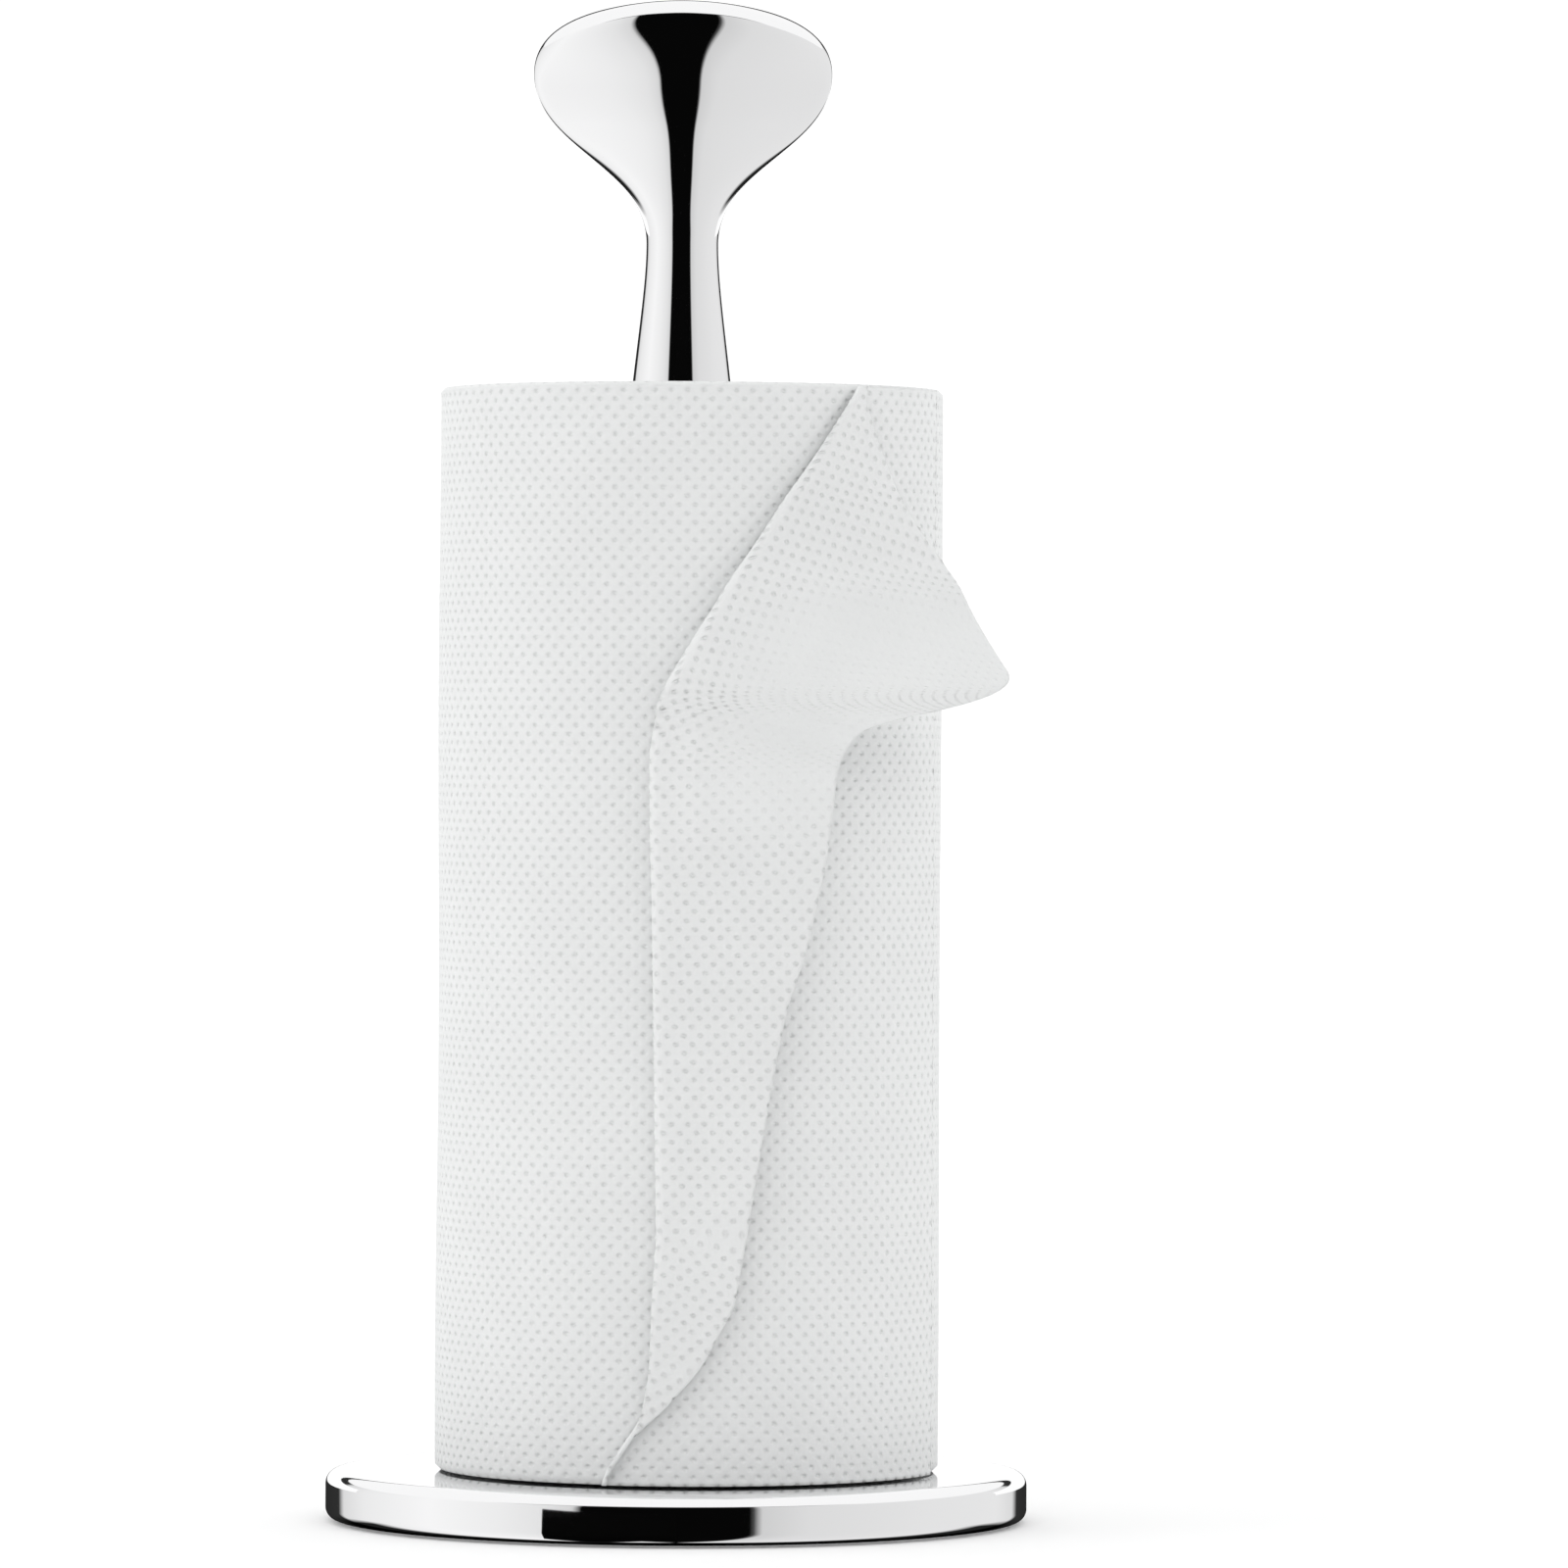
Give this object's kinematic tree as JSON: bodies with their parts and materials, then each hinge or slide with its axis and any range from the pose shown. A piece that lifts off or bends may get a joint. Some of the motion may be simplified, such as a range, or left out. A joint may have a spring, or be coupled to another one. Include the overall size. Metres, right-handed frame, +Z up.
{
  "type": "paper towel holder",
  "caption": "Free-standing paper towel holder with a weighted round base, a lift-off post that ends in a flattened knob, and a roll of kitchen paper on it.",
  "frame": {"origin": "centre of the underside, on the post's axis, at the level of the table", "axes": "+Z up along the post, +X along the knob's width, -Y towards the loose sheet"},
  "size_m": [0.1538, 0.1538, 0.3328],
  "materials": {
    "polished_steel": "mirror polished",
    "cast_ballast": "rough",
    "plain_steel": "satin",
    "black_rubber": "matt",
    "white_nylon": "matt",
    "core_board": "matt",
    "white_paper": "embossed, matt"
  },
  "bodies": {
    "base": {"base_shell": "polished_steel", "ballast_disc": "cast_ballast", "base_plate": "plain_steel", "non_slip_pad": "black_rubber", "cover_screws": "plain_steel", "centre_pin": "plain_steel", "pin_washer": "plain_steel", "pin_screw": "plain_steel", "grip_rings": "black_rubber"},
    "foot": {"foot_washer": "white_nylon"},
    "post": {"post": "polished_steel", "lower_bush": "white_nylon", "upper_bush": "white_nylon"},
    "roll": {"core_tube": "core_board", "paper_roll": "white_paper", "loose_sheet": "white_paper"}
  },
  "joints": [
    {"name": "roll_spin", "type": "hinge", "parent": "base", "child": "roll", "pos_m": [0.0022, 0, 0], "axis": [0, 0, 1], "continuous": true},
    {"name": "post_turn", "type": "hinge", "parent": "base", "child": "foot", "pos_m": [0, 0, 0], "axis": [0, 0, 1], "continuous": true},
    {"name": "post_lift", "type": "slide", "parent": "foot", "child": "post", "axis": [0, 0, 1], "range_m": [0, 0.25]}
  ]
}
